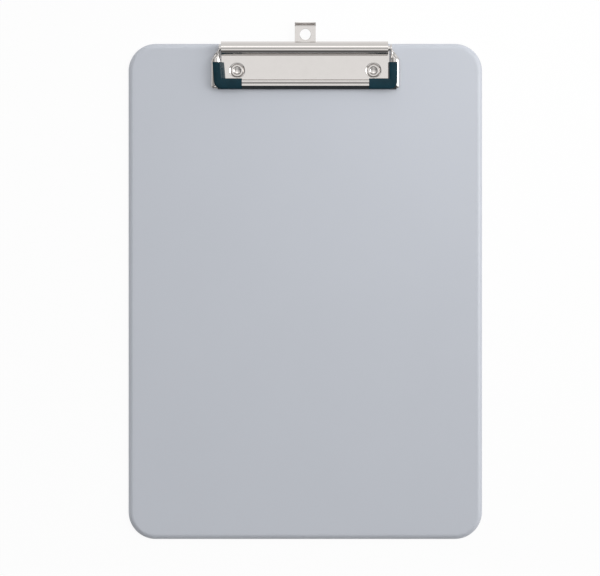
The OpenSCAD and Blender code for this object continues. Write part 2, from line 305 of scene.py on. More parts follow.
def lift(plan: Array, height: Array | float) -> Array:
    """Adds a third coordinate, spread to fit, to points of shape (..., 2)."""
    return np.concatenate([plan, np.broadcast_to(height, (*plan.shape[:-1], 1))], axis=-1)


def onto_x(points: Array) -> Array:
    """Turns a shape made along the Z axis so that it lies along X: (z, x, y)."""
    return points[..., [2, 0, 1]]


def arc(centre: Array | tuple, radius: float, start: float, end: float, steps: int) -> Array:
    """Gives steps + 1 points: centre + radius * (cos a, sin a), a from start to end in degrees."""
    return unit(np.radians(np.linspace(start, end, steps + 1))) * radius + np.array(centre)


def swing(profile: Array, way: Array) -> Array:
    """Turns a profile of (r, z) to each direction (cos t, sin t): (r cos t, r sin t, z)."""
    return lift(profile[:, None, :1] * way, profile[:, None, 1:])


def revolve(profile: Array, steps: int) -> Array:
    """Turns a profile of (r, z) once round the Z axis; the grid's columns go round."""
    return swing(profile, unit(np.linspace(0.0, 2 * np.pi, steps, endpoint=False)))


def extrude(xs: Array, section: Array) -> Array:
    """Carries an outline of (y, z) along X: point j of row i is (x of i, y of j, z of j)."""
    return onto_x(lift(np.broadcast_to(section, (len(xs), *section.shape)), xs[:, None, None]))


def plane_grid(xs: Array, ys: Array, z: float) -> Array:
    """Gives a flat grid with rows at xs, columns at ys and one height."""
    return lift(np.stack(np.meshgrid(xs, ys, indexing="ij"), axis=-1), z)


def square_ring(half: Array, steps: int) -> Array:
    """Gives the points of a rectangle's outline, counter-clockwise from its lower left corner.

    Args:
        half: Half width and half height.
        steps: Number of stretches on each side.

    Returns:
        Array of shape (4 * steps, 2).
    """
    t = np.linspace(-1.0, 1.0, steps + 1)[:-1]
    one = np.ones(steps)
    ring = [np.stack(pair, axis=-1) for pair in ((t, -one), (one, t), (-t, one), (-one, -t))]
    return np.vstack(ring) * half


def round_window(centre: Array, half: float, steps: int, rings: Array) -> Array:
    """Fills a square round a circle: circles of given radius and height, then the outline.

    Args:
        centre: Centre in X, Y and Z.
        half: Half the square's width.
        steps: Number of stretches on each side of the square.
        rings: Array of shape (circles, 2) of radius and height above the centre.

    Returns:
        Grid of shape (circles + 1, 4 * steps, 3), whose columns go round.
    """
    outline = square_ring(np.full(2, half), steps)
    circles = swing(rings, unit(np.arctan2(outline[:, 1], outline[:, 0])))
    return np.concatenate([circles, lift(outline, 0.0)[None]]) + centre


def smooth_step(t: Array) -> Array:
    """Rises from 0 to 1 with no slope at either end: 3 t^2 - 2 t^3, with t kept from 0 to 1."""
    t = np.clip(t, 0.0, 1.0)
    return t * t * (3 - 2 * t)


def tube(path: Array, radius: float, sides: int, across: Array) -> Array:
    """Carries a circle along a path, in the plane of the path's own normal and binormal.

    Args:
        path: Array of shape (points, 3).
        radius: Radius of the tube.
        sides: Number of points round it.
        across: A direction that the path never takes.

    Returns:
        Grid of shape (points, sides, 3), whose columns go round.
    """
    tangent = np.gradient(path, axis=0)
    tangent /= np.linalg.norm(tangent, axis=1, keepdims=True)
    normal = across - tangent * (tangent @ across)[:, None]
    normal /= np.linalg.norm(normal, axis=1, keepdims=True)
    binormal = np.cross(tangent, normal)
    turn = np.linspace(0.0, 2 * np.pi, sides, endpoint=False)[None, :, None]
    return path[:, None] + radius * (np.cos(turn) * normal[:, None] + np.sin(turn) * binormal[:, None])


# ---- materials ----


def linear(hex_code: str) -> tuple[float, float, float, float]:
    """Turns an sRGB hex colour into the linear values that the shaders take.

    Args:
        hex_code: Colour such as "#BCC0C8".

    Returns:
        Linear red, green and blue, with an alpha of 1.
    """
    srgb = np.array([int(hex_code[i:i + 2], 16) for i in (1, 3, 5)]) / 255
    value = np.where(srgb <= 0.04045, srgb / 12.92, ((srgb + 0.055) / 1.055) ** 2.4)
    return (*value.tolist(), 1.0)


def per_mm(size: float) -> float:
    """Gives the noise scale whose features are about this many millimetres across."""
    return 1 / (size * MM)


def add_node(tree: NodeTree, kind: str, inputs: dict | None = None, **settings: object) -> Node:
    """Adds a node, sets its properties, and sets or links its inputs.

    Args:
        tree: The node tree.
        kind: Type of the node.
        inputs: Input name or number, with a value or another node's output socket.
        settings: Properties of the node.

    Returns:
        The new node.
    """
    node = tree.nodes.new(kind)
    for key, value in settings.items():
        setattr(node, key, value)
    for key, value in (inputs or {}).items():
        if isinstance(value, NodeSocket):
            tree.links.new(value, node.inputs[key])
        else:
            node.inputs[key].default_value = value
    return node


@dataclass(frozen=True)
class Finish:
    """What all finishes share: a base colour, a roughness that varies and a fine relief.

    slot is not used. cloud and grain are sizes in millimetres, and grain_height is the
    relief's height. grain_stretch is how many times longer the relief is along X.
    """

    slot: str
    name: str
    colour: str
    shade: str
    cloud: float
    roughness: float
    roughness_spread: float
    grain: float
    grain_height: float
    grain_stretch: float = 1.0
    metallic: float = 0.0
    ior: float = 1.5
    specular: float = 0.5

    def material(self) -> Material:
        """Builds the material, once, from nodes on Object coordinates.

        A slow cloud moves the colour a little between colour and shade. One of a quarter of its
        size moves the roughness, as handling and moulding leave it. The relief is noise in the
        grain's size.

        Returns:
            The material.
        """
        made = bpy.data.materials.get(self.name)
        if made:
            return made
        made = bpy.data.materials.new(self.name)
        made.use_nodes = True
        tree = made.node_tree
        shader = tree.nodes["Principled BSDF"]
        shader.inputs["Metallic"].default_value = self.metallic
        shader.inputs["IOR"].default_value = self.ior
        shader.inputs["Specular IOR Level"].default_value = self.specular
        place = add_node(tree, "ShaderNodeTexCoord").outputs["Object"]
        drawn = add_node(tree, "ShaderNodeMapping", {
            "Vector": place, "Scale": (1 / self.grain_stretch, 1.0, 1.0)}).outputs["Vector"]
        cloud, smudge, grain = (
            add_node(tree, "ShaderNodeTexNoise", {
                "Vector": way, "Scale": per_mm(size), "Detail": detail, "Roughness": rough}).outputs["Fac"]
            for way, size, detail, rough in ((place, self.cloud, 3.0, 0.5),
                                             (place, self.cloud / 4, 4.0, 0.6),
                                             (drawn, self.grain, 3.0, 0.55)))
        tone = add_node(tree, "ShaderNodeMix", {
            "Factor": cloud, 6: linear(self.colour), 7: linear(self.shade)}, data_type="RGBA")
        worn = add_node(tree, "ShaderNodeMapRange", {
            "Value": smudge, "From Min": 0.3, "From Max": 0.7,
            "To Min": self.roughness - self.roughness_spread,
            "To Max": self.roughness + self.roughness_spread})
        bump = add_node(tree, "ShaderNodeBump", {
            "Height": grain, "Distance": self.grain_height * MM, "Strength": 1.0})
        tree.links.new(tone.outputs[2], shader.inputs["Base Color"])
        tree.links.new(worn.outputs["Result"], shader.inputs["Roughness"])
        tree.links.new(bump.outputs["Normal"], shader.inputs["Normal"])
        return made


# Polystyrene board, injection moulded in a mould that was spark-eroded very finely: satin, with
# a broad soft sheen and a relief that only shows close to.
BOARD_PLASTIC = Finish(
    "board_plastic", "moulded_polystyrene_satin", "#BEC2CA", "#BBBFC7", cloud=60.0, roughness=0.40,
    roughness_spread=0.03, grain=0.35, grain_height=0.004, ior=1.59)
# Bright nickel on cold-rolled steel, plated after pressing: a warm grey mirror, slightly drawn
# out along the sheet's rolling direction, with faint handling marks.
NICKEL_PLATE = Finish(
    "nickel_plate", "bright_nickel_on_rolled_steel", "#DCD8D5", "#D8D4D1", cloud=12.0,
    roughness=0.09, roughness_spread=0.03, grain=0.25, grain_height=0.0002, grain_stretch=60.0,
    metallic=1.0)
# Patented spring wire, drawn and oiled: darker grey steel with fine marks of the drawing die.
SPRING_WIRE = Finish(
    "spring_steel", "drawn_spring_wire", "#A3A3A4", "#8F8F91", cloud=4.0, roughness=0.32,
    roughness_spread=0.06, grain=0.10, grain_height=0.002, grain_stretch=6.0, metallic=1.0)
# Soft PVC caps, moulded: black with a petrol tint, a soft gloss and a faint orange peel. The
# lighter second tone is painted sheen, which the colour cloud lays in soft random patches.
GRIP_PVC = Finish(
    "grip_plastic", "moulded_soft_pvc_black", "#02212B", "#0D3440", cloud=6.0, roughness=0.24,
    roughness_spread=0.04, grain=0.50, grain_height=0.004, specular=0.16)
# Extruded rubber edging on the jaw: matt black with fine lines along the extrusion.
JAW_RUBBER = Finish(
    "jaw_rubber", "extruded_rubber_black", "#1C2226", "#171C1F", cloud=8.0, roughness=0.55,
    roughness_spread=0.06, grain=0.20, grain_height=0.006, grain_stretch=20.0, ior=1.52,
    specular=0.4)


# ---- the board ----


@dataclass
class Board:
    """The moulded board: a rounded slab with soft edges, the eye's channel and rivet recesses."""

    datum: Datum
    corner_r: float = 17.5
    corner_steps: int = 24
    face_edge_w: float = 3.3
    face_edge_h: float = 2.8
    face_edge_power: float = 1.75
    face_edge_crowding: float = 0.8
    face_margin: float = 1.5
    back_edge_r: float = 0.5
    channel_half: float = 7.05
    channel_depth: float = 1.2
    pocket_half: float = 10.05
    pocket_near: float = -4.6
    pocket_len: float = 14.3
    seat_r: float = 5.35
    seat_depth: float = 0.61
    tail_r: float = 4.3
    tail_depth: float = 1.2
    overcut: float = 1.0

    def edge_profile(self) -> Array:
        """Gives inset from the outline and height, from the back round to the face.

        The back edge is a quarter circle. The face edge is a superellipse: height below the face
        = h * (1 - (1 - s^p)^(1/p)), with s the share of the way in to the outline.

        Returns:
            Array of shape (points, 2).
        """
        top = self.datum.face_z
        power = self.face_edge_power
        back = arc((self.back_edge_r, self.back_edge_r), self.back_edge_r, 270, 180, steps=5)
        along = np.sin(np.linspace(np.pi / 2, 0, num=19)) ** self.face_edge_crowding
        drop = self.face_edge_h * (1 - (1 - along ** power) ** (1 / power))
        face = np.stack([self.face_edge_w * (1 - along), top - drop], axis=-1)
        return np.vstack([back, face, [[self.face_edge_w + self.face_margin, top]]])

    def slab(self) -> Object:
        """Carries the edge profile round the outline: corner centre + (R - inset) * (cos t, sin t).

        Returns:
            The board before anything is cut from it.
        """
        centre = cad_box("board")[1, :2] - self.corner_r
        quarter = np.linspace(0, np.pi / 2, self.corner_steps + 1)
        turn = np.concatenate([quarter + k * np.pi / 2 for k in range(4)])
        signs = np.repeat([[1, 1], [-1, 1], [-1, -1], [1, -1]], self.corner_steps + 1, axis=0)
        inset, height = self.edge_profile().T[..., None, None]
        shell = Shell()
        shell.rod(lift(signs * centre + (self.corner_r - inset) * unit(turn), height))
        return shell.build("board_moulding")

    def cutters(self, plate: "ClipPlate") -> Object:
        """Makes the solids that are cut out of the slab, as one object.

        Args:
            plate: The clip plate, which says where the rivets are.

        Returns:
            The cutters: channel, pocket, rivet seats and rivet recesses.
        """
        over = self.overcut
        shell = Shell(self.datum.on_face)
        edge = cad_box("board")[1, 1] - self.datum.axis_y
        for half, near, far in (
                (self.channel_half, self.pocket_near - over, edge + over),
                (self.pocket_half, self.pocket_near - self.pocket_len, self.pocket_near)):
            ring = square_ring(np.array([half, (far - near) / 2]), 1) + [0.0, (near + far) / 2]
            shell.rod(np.stack([lift(ring, -self.channel_depth), lift(ring, over)]))
        thick = self.datum.face_z
        for side in Side:
            place = [side.value * plate.rivet_x, plate.rivet_y, 0.0]
            for radius, low, high in ((self.seat_r, -self.seat_depth, over),
                                      (self.tail_r, -thick - over, self.tail_depth - thick)):
                profile = np.array([[0, low], [radius, low], [radius, high], [0, high]])
                shell.grid(revolve(profile, steps=64) + place, closed_v=True)
        return shell.build("cutters")

    def build(self, plate: "ClipPlate") -> None:
        """Cuts the recesses into the slab and dresses it.

        Args:
            plate: The clip plate that the seats are for.
        """
        board = self.slab()
        cutter = self.cutters(plate)
        modify(board, "BOOLEAN", operation="DIFFERENCE", solver="EXACT", use_self=True, object=cutter)
        bpy.data.objects.remove(cutter)
        seat(board, Body.BASE, BOARD_PLASTIC, "board")


# ---- plate, barrel, rivets ----


@dataclass
class ClipPlate:
    """The clip plate with its pressed dishes, and the barrel rolled from its upper edge.

    The barrel's right end is set back a little from the plate's, as in the photograph. It eases
    back over a share of the way round the barrel.
    """

    datum: Datum
    sheet: float = 0.9
    edge_break: float = 0.14
    dish_r: float = 5.15
    dish_floor_r: float = 3.95
    dish_depth: float = 0.55
    dish_bend: float = 0.1
    floor_ring: float = 0.6
    rim_ring: float = 0.4
    hole_r: float = 2.1
    window: float = 6.0
    window_steps: int = 16
    barrel_steps: int = 60
    seam_gap: float = 0.3
    set_back: float = 1.0
    ease_share: float = 1 / 6
    pin_hole_r: float = 1.55
    cap_lap: float = 0.15
    cap_bevel: float = 0.12
    cap_set_in: float = 0.06

    def __post_init__(self) -> None:
        """Reads the plate's width and end, and the rivets' places, from the frame."""
        low, high = cad_box("base_plate") - self.datum.on_face
        self.half, self.end = high[0], low[1]
        self.rivet_x, self.rivet_y = (cad_box("rivet_right").mean(axis=0) - self.datum.on_face)[:2]

    def dish_rings(self) -> Array:
        """Gives radius and height of the dish: a flat floor, an even slope and a soft rim.

        The slope's height is a ramp whose two ends are rounded: it is the mean of a ramp over
        a short stretch, dish_bend of the slope, to both sides of each place.

        Returns:
            Array of shape (rings, 2).
        """
        spread = self.dish_bend * np.linspace(-1, 1, num=21)
        bend = self.dish_bend * np.linspace(-1, 1, num=5)
        share = np.concatenate([bend, [0.5], 1 + bend])
        ramp = np.clip(share[:, None] + spread, 0, 1).mean(axis=1)
        slope = np.stack([self.dish_floor_r + share * (self.dish_r - self.dish_floor_r),
                          self.dish_depth * (ramp - 1)], axis=-1)
        floor = [[self.hole_r, -self.dish_depth], [self.dish_floor_r - self.floor_ring, -self.dish_depth]]
        return np.vstack([floor, slope, [[self.dish_r + self.rim_ring, 0.0]]])

    def sheet_metal(self) -> Object:
        """Makes the sheet's middle surface: flat blocks, two dish windows, and the rolled barrel.

        Round the barrel the surface follows (y, z) = axis + R * (cos t, sin t), from straight
        below the axis, round the back and the top, to the open seam at the front. Its right end
        eases back by a smooth step.

        Returns:
            The plate and barrel with their wall and broken edges.
        """
        mid = self.sheet / 2
        shell = Shell(self.datum.on_face)
        near, far = self.rivet_x - self.window, self.rivet_x + self.window
        cuts_x = [-self.half, -far, -near, near, far, self.half]
        steps_x = [1, self.window_steps, 6, self.window_steps, 1]
        cuts_y = [self.end, self.rivet_y - self.window, self.rivet_y + self.window, 0.0]
        steps_y = [1, self.window_steps, 3]
        xs, ys = ([np.linspace(a, b, n + 1) for a, b, n in zip(cuts, cuts[1:], steps)]
                  for cuts, steps in ((cuts_x, steps_x), (cuts_y, steps_y)))
        for column, x_lines in enumerate(xs):
            for row, y_lines in enumerate(ys):
                if row == 1 and column in (1, 3):
                    centre = np.array([x_lines.mean(), self.rivet_y, mid])
                    window = round_window(centre, self.window, self.window_steps, self.dish_rings())
                    shell.grid(window, closed_v=True)
                else:
                    shell.grid(plane_grid(x_lines, y_lines, mid))
        barrel_r = self.datum.barrel_r
        radius = barrel_r - mid
        seam = 180 + np.degrees(np.arcsin((barrel_r - self.sheet - self.seam_gap) / radius))
        section = arc((0.0, barrel_r), radius, -90, seam, self.barrel_steps)
        barrel = extrude(np.unique(np.concatenate(xs).round(6)), section)
        barrel[-1, :, 0] -= self.set_back * smooth_step(np.linspace(0, 1 / self.ease_share, len(section)))
        shell.grid(barrel)
        return press(shell, "plate_sheet", self.sheet, self.edge_break)

    def end_caps(self) -> Object:
        """Makes the two discs that close the barrel, each a washer turned round the axis.

        Returns:
            Both discs as one object.
        """
        shell = Shell(self.datum.on_axis)
        outer = self.datum.barrel_r - self.sheet + self.cap_lap
        inner, bevel = self.pin_hole_r, self.cap_bevel
        for side in Side:
            far = self.half - self.cap_set_in - (self.set_back if side is Side.RIGHT else 0.0)
            near = far - self.sheet
            profile = np.array([
                [inner, near], [outer, near], [outer, far], [inner + bevel, far], [inner, far - bevel]])
            profile[:, 1] *= side.value
            shell.grid(onto_x(revolve(profile, steps=48)), closed_u=True, closed_v=True)
        return shell.build("plate_caps")

    def build(self) -> None:
        """Joins the sheet and the caps and dresses them."""
        piece = merge("clip_plate", [self.sheet_metal(), self.end_caps()])
        seat(piece, Body.BASE, NICKEL_PLATE, "base_plate")


@dataclass
class Rivets:
    """Two hollow-headed rivets, each a profile turned round its own axis."""

    datum: Datum
    head_r: float = 3.8
    head_t: float = 0.79
    lip_r: float = 0.25
    hollow_r: float = 2.6
    hollow_depth: float = 1.0
    shank_r: float = 2.0
    tail_r: float = 3.7
    tail_t: float = 1.0
    tail_lip: float = 0.4
    tail_edge: float = 0.2
    tail_hollow_r: float = 1.2

    def profile(self, low: float, high: float) -> Array:
        """Gives the rivet's outline as radius and height, from its hollow's middle round to its tail.

        The hollow is a bowl, r = R sin a and depth = D cos a, that ends in a rolled lip. The
        head's rim is a quarter circle, and so are both edges of the set end.

        Args:
            low: Height of the set end's face.
            high: Height of the head's top.

        Returns:
            Array of shape (points, 2), which starts and ends on the axis.
        """
        roll, edge = self.lip_r / 2, self.tail_edge
        under, heel = high - self.head_t, low + self.tail_t
        bowl = unit(np.linspace(0, np.pi / 2, num=13))[:, ::-1] * [self.hollow_r, roll - self.hollow_depth]
        bowl += [0.0, high - roll]
        lip = arc((self.hollow_r + roll, high - roll), roll, 150, 90, steps=3)
        rim = arc((self.head_r - self.lip_r, high - self.lip_r), self.lip_r, 90, 0, steps=6)
        neck = [[self.head_r, under], [self.shank_r, under], [self.shank_r, heel]]
        upper = arc((self.tail_r - edge, heel - edge), edge, 90, 0, steps=4)
        lower = arc((self.tail_r - self.tail_lip, low + self.tail_lip), self.tail_lip, 0, -90, steps=6)
        hollow = [[self.tail_hollow_r + edge, low], [self.tail_hollow_r, low + edge],
                  [self.tail_hollow_r, heel], [0.0, heel]]
        return np.vstack([bowl, lip, rim, neck, upper, lower, hollow])

    def build(self) -> None:
        """Makes and dresses both rivets."""
        for side in Side:
            node = f"rivet_{side.label}"
            low, high = cad_box(node)
            centre = (low + high) / 2
            shell = Shell(centre * [1, 1, 0])
            shell.grid(revolve(self.profile(low[2], high[2]), steps=64), closed_v=True)
            seat(shell.build(f"{node}_turned"), Body.BASE, NICKEL_PLATE, node)


# ---- bail ----


@dataclass(frozen=True)
class Crown:
    """Rounded top of the channel: its radius, its fillets, and how far in its middle lies."""

    radius: float
    fillet_r: float
    lean: float


@dataclass
class BailShape:
    """Sizes and height rule of the bail's pressed channel, on its right half.

    Distances across the channel are counted inwards from its outer flank. Heights are counted
    from the writing face and y from the barrel's axis.
    """

    datum: Datum
    band_w: float = 5.8
    sheet: float = 0.8
    low: float = 1.7
    crown_top: float = 4.3
    on_arm: Crown = Crown(radius=4.0, fillet_r=0.8, lean=0.0)
    on_bar: Crown = Crown(radius=13.0, fillet_r=1.0, lean=2.75)
    corner_r: float = 1.5
    inner_corner_r: float = 0.5
    shoulder_run: float = 7.0
    ear_run: float = 8.0

    def __post_init__(self) -> None:
        """Reads the bail's outer sides and its ears from the frame."""
        low, high = cad_box("bail") - self.datum.on_face
        self.half, self.ear_r = high[:2]
        self.bar_outer = low[1]
        self.ear_in = self.half - self.band_w
        self.ear_out = self.ear_in + self.sheet

    def crown_height(self, across: Array | float, crown: Crown, grow: float = 0.0) -> Array:
        """Gives the height of a crown grown by a margin: top - R + sqrt((R + grow)^2 - off^2)."""
        off = across - self.band_w / 2 - crown.lean
        return self.crown_top - crown.radius + np.sqrt((crown.radius + grow) ** 2 - off ** 2)

    def sheet_height(self, across: Array, crown: Crown) -> Array:
        """Gives the height of the sheet's middle: the crown, and a fillet at each flank.

        A fillet's centre lies f inwards of the flank, and at the distance R - f from the crown's
        centre, so the two arcs touch on the line through both centres.

        Args:
            across: Distances across the channel.
            crown: The crown's shape.

        Returns:
            Heights above the face, of the same shape.
        """
        mid = self.sheet / 2
        fillet = crown.fillet_r
        radius = crown.radius - mid
        middle = self.band_w / 2 + crown.lean
        floor = self.crown_top - crown.radius
        height = floor + np.sqrt(radius ** 2 - (across - middle) ** 2)
        for centre, way in ((mid + fillet, -1), (self.band_w - mid - fillet, 1)):
            rise = np.sqrt((radius - fillet) ** 2 - (centre - middle) ** 2)
            touch = middle + (centre - middle) * radius / (radius - fillet)
            bend = floor + rise + np.sqrt(np.maximum(fillet ** 2 - (across - centre) ** 2, 0.0))
            height = np.where((across - touch) * way > 0, bend, height)
        return height

    def stations(self) -> Array:
        """Sets out the sheet's middle across, flank to flank: f * (1 - cos a) in, then evenly.

        Returns:
            Distances across the channel.
        """
        bend = self.sheet / 2 + self.on_bar.fillet_r * (1 - np.cos(np.linspace(0, np.pi / 3, num=8)))
        crown = np.linspace(bend[-1], self.band_w - bend[-1], num=24)
        return np.concatenate([bend[:-1], crown, (self.band_w - bend[:-1])[::-1]])

    def arm_end(self, across: Array) -> Array:
        """Gives the y at which the arm ends: a straight slope from the ear out to the flank."""
        from_ear = self.ear_out - (self.half - across)
        return np.minimum(from_ear, 0.0) * self.shoulder_run / (self.half - self.ear_out)


@dataclass
class Bail:
    """The U-shaped bail: a pressed channel that ends in two ears round the hinge pin."""

    shape: BailShape
    bar_steps: int = 16
    corner_steps: int = 8
    arm_steps: int = 28
    arm_crowding: float = 0.6
    nose_len: float = 1.3
    nose_near: float = 6.0
    nose_share: float = 0.85
    ridge_w: float = 0.9
    edge_break: float = 0.12
    pin_hole_r: float = 1.52
    ear_grow: float = 0.02

    def channel_half(self, side: Side) -> Array:
        """Carries the channel's middle line along the bar, round the corner and up the arm.

        At a distance u across, the path is x = half - u on the arm and y = outer + u on the bar,
        joined by an arc of radius max(R - u, r). The crown leans in on the bar and is even on the
        arm. At the arm's end it falls by a smooth step, short at the outer flank and long at the
        inner one, into a closed, rounded shoulder, but stays up beside the ear.

        Args:
            side: Half of the bail that is made.

        Returns:
            Grid of shape (path points, section points, 3).
        """
        s = self.shape
        across = s.stations()
        radius = np.maximum(s.corner_r - across, s.inner_corner_r)
        centre = np.stack([s.half - across - radius, s.bar_outer + across + radius], axis=-1)
        t = np.linspace(0, 1, self.bar_steps + 1)[:-1, None]
        bar = np.stack([t * centre[:, 0], 0 * t + s.bar_outer + across], axis=-1)
        turn = np.radians(np.linspace(-90, 0, self.corner_steps + 1))[:, None]
        corner = centre + radius[:, None] * unit(turn)
        t = np.linspace(0, 1, self.arm_steps + 1)[1:, None] ** self.arm_crowding
        run = s.arm_end(across) - centre[:, 1]
        arm = np.stack([0 * t + s.half - across, centre[:, 1] + t * run], axis=-1)
        on_arm = np.concatenate([np.zeros(self.bar_steps), np.linspace(0, 1, self.corner_steps + 1),
                                 np.ones(self.arm_steps)])[:, None]
        height = (1 - on_arm) * s.sheet_height(across, s.on_bar) \
            + on_arm * s.sheet_height(across, s.on_arm)
        nose = self.nose_len + (self.nose_near - self.nose_len) * across / s.band_w
        fall = np.zeros_like(height)
        fall[-self.arm_steps:] = 1 - smooth_step((1 - t) * run / nose)
        fall *= smooth_step((s.band_w - s.sheet - across) / self.ridge_w) * self.nose_share
        rise = (height - s.low) * (1 - fall)
        rise[:, [0, -1]] = 0.0
        return lift(np.concatenate([bar, corner, arm]), (s.low + rise)[..., None]) * [side.value, 1, 1]

    def ear(self, side: Side) -> Array:
        """Fills an ear between the pin's hole and its outline, ring by ring.

        The outline is the lug's circle, then the straight slope down to the arm, the ear's front
        end and its lower edge. Each ring lies a share of the way from the hole to the outline.

        Args:
            side: Side of the ear.

        Returns:
            Grid of shape (rings, points round, 3) in the middle of the sheet.
        """
        s = self.shape
        axis = np.array([0.0, s.datum.barrel_r])
        front = np.array([-s.ear_run, s.crown_height(0.0, s.on_arm)])
        heel = np.array([-s.ear_run, s.low])
        slope = np.degrees(np.arctan2(axis[1] + s.ear_r - front[1], s.ear_run))
        lug = arc(axis, s.ear_r, -90, 90 + 2 * slope, steps=36)
        edges = [np.linspace(a, b, steps + 1)[1:] for a, b, steps in (
            (lug[-1], front, 12), (front, heel, 3), (heel, lug[0], 12))]
        outline = np.vstack([lug, *edges])[:-1]
        from_axis = outline - axis
        hole = unit(np.arctan2(from_axis[:, 1], from_axis[:, 0])) * self.pin_hole_r + axis
        rings = np.linspace(hole, outline, num=4)
        return onto_x(lift(rings, side.value * (s.ear_in + s.ear_out) / 2))

    def build(self) -> None:
        """Makes the channel and both ears, gives them their wall and dresses them."""
        channel = Shell(self.shape.datum.on_face)
        ears = Shell(self.shape.datum.on_face)
        for side in Side:
            channel.grid(self.channel_half(side), flip=side is Side.LEFT)
            ears.grid(self.ear(side), closed_v=True)
        wall = self.shape.sheet
        parts = [press(channel, "bail_band", wall, self.edge_break),
                 press(ears, "bail_ears", wall + 2 * self.ear_grow, self.edge_break)]
        seat(merge("bail_pressing", parts), Body.CLAMP, NICKEL_PLATE, "bail")


# ---- grips and strip ----


@dataclass
class CornerGrip:
    """One soft cap, pressed over a corner of the bail.

    The left cap sits a little askew, as in the photograph: it is pushed inwards by shift, its arm
    leans out towards the hinge by lean degrees, and its inner skirt flares over the plate. Within
    strip_reach of the bar's outer side the cap lies over the jaw strip.
    """

    shape: BailShape
    side: Side
    shift: float
    lean: float
    flare: float
    flare_above: float = 0.1
    arm_w: float = 5.3
    strip_wall: float = 0.5
    strip_reach: float = 1.65
    fit: float = 0.05
    edge_r: float = 1.1
    edge_break: float = 0.2
    inner_corner_r: float = 0.35
    bulge: float = 0.14
    leg_steps: int = 16
    corner_steps: int = 18
    edge_steps: int = 9
    hollow_steps: int = 13

    def __post_init__(self) -> None:
        """Reads the cap's inner corner, its legs and its heights from the frame."""
        s = self.shape
        low, high = cad_box(f"corner_grip_{self.side.label}") - s.datum.on_face
        self.bar_end, far = np.sort(np.abs([low[0], high[0]]))
        overhang = s.half - s.band_w - (far - self.arm_w)
        self.corner = np.array([far - self.arm_w, s.bar_outer + s.band_w + overhang])
        self.wall = overhang - self.fit
        self.arm_end = high[1]
        self.bar_w = self.corner[1] - low[1]
        self.low, self.top = low[2], high[2]

    def paths(self) -> list[Array]:
        """Gives the cap's inner and outer sides in plan, along the bar, the bend and the arm.

        The inner side has a small rounded corner. The outer side has a quarter circle of the
        arm's width, whose centre lies lower, as the leg on the bar is wider.

        Returns:
            Two arrays of shape (path points, 2) on the right half.
        """
        small, wide = self.inner_corner_r, self.arm_w
        sides = []
        for bend in (arc(self.corner + [-small, small], small, -90, 0, self.corner_steps),
                     arc(self.corner - [0, self.bar_w - wide], wide, -90, 0, self.corner_steps)):
            bar = np.linspace([self.bar_end, bend[0, 1]], bend[0], self.leg_steps + 1)
            arm = np.linspace(bend[-1], [bend[-1, 0], self.arm_end], self.leg_steps + 1)
            sides.append(np.concatenate([bar[:-1], bend, arm[1:]]))
        return sides

    def skin(self) -> Array:
        """Gives the outer skin from the inner foot over the top to the outer foot.

        Both upper edges are quarter circles, and between them the top bulges by a half sine.

        Returns:
            Array of shape (points, 3): share of the way across, distance added to it, height.
        """
        r = self.edge_r
        inner = arc((r, self.top - r), r, 180, 90, self.edge_steps)
        outer = arc((-r, self.top - r), r, 90, 0, self.edge_steps)
        share = np.linspace(0, 1, num=11)[1:-1]
        crown = np.column_stack([share, r * (1 - 2 * share), self.top + self.bulge * np.sin(np.pi * share)])
        return np.vstack([[[0, 0, self.low]], np.insert(inner, 0, 0, axis=1), crown,
                          np.insert(outer, 0, 1, axis=1)])

    def roof(self, plan: Array) -> Array:
        """Gives the height of the cavity: the channel's crown plus the fit, or the strip's lap.

        The distance across the channel is the smaller of those from the arm's and the bar's
        outer sides, which is how the mitred channel runs round its corner.

        Args:
            plan: Places in plan, of shape (..., 2).

        Returns:
            Heights above the face.
        """
        s = self.shape
        from_bar = plan[..., 1] - s.bar_outer
        over = np.where(from_bar < self.strip_reach, self.strip_wall, 0.0) + self.fit
        across = np.clip(np.minimum(s.half - plan[..., 0], from_bar), 0, s.band_w)
        return np.maximum(s.crown_height(across, s.on_arm, over), s.crown_height(across, s.on_bar, over))

    def build(self) -> None:
        """Makes the skin and the cavity, joins them at their feet and ends, and dresses the cap.

        A point of the section lies at inner + share * (outer - inner) + distance * across, with
        across the unit way from the inner to the outer side. The skin is then moved along X by
        tan(lean) * height up the arm - shift, and the cavity by its share of that, down to none
        beside the channel's inner flank. The foot of the inner skirt takes the whole flare, and
        the point above it a small share.
        """
        inner, outer = self.paths()
        way = outer - inner
        way /= np.linalg.norm(way, axis=1, keepdims=True)
        skin = self.skin()
        share = np.linspace(1, 0, self.hollow_steps + 1)
        hollow = np.column_stack([share, self.wall * (1 - share), np.full_like(share, self.top)])
        section = np.vstack([skin, hollow, [[0, self.wall, self.low]]])
        part, added = section[:, 0, None], section[:, 1, None]
        plan = inner[:, None] * (1 - part) + outer[:, None] * part + way[:, None] * added
        along = (inner[:, 0] - inner[0, 0]) / (inner[-1, 0] - inner[0, 0])
        up = np.maximum(inner[:, 1] - self.corner[1], 0.0)
        move = np.tan(np.radians(self.lean)) * up - self.shift * (1 + along) / 2
        plan[..., 0] += move[:, None] * np.concatenate([np.ones(len(skin)), share, [0.0]])
        plan[:, :2, 0] -= self.flare * along[:, None] * [1.0, self.flare_above]
        height = np.broadcast_to(section[:, 2], plan.shape[:2]).copy()
        cavity = slice(len(skin) - 1, -1)
        height[:, cavity] = self.roof(plan[:, cavity])
        shell = Shell(self.shape.datum.on_face)
        shell.rod(lift(plan, height[..., None]) * [self.side.value, 1, 1])
        node = f"corner_grip_{self.side.label}"
        piece = shell.build(f"{node}_cap")
        break_edges(piece, self.edge_break)
        seat(piece, Body.CLAMP, GRIP_PVC, node)


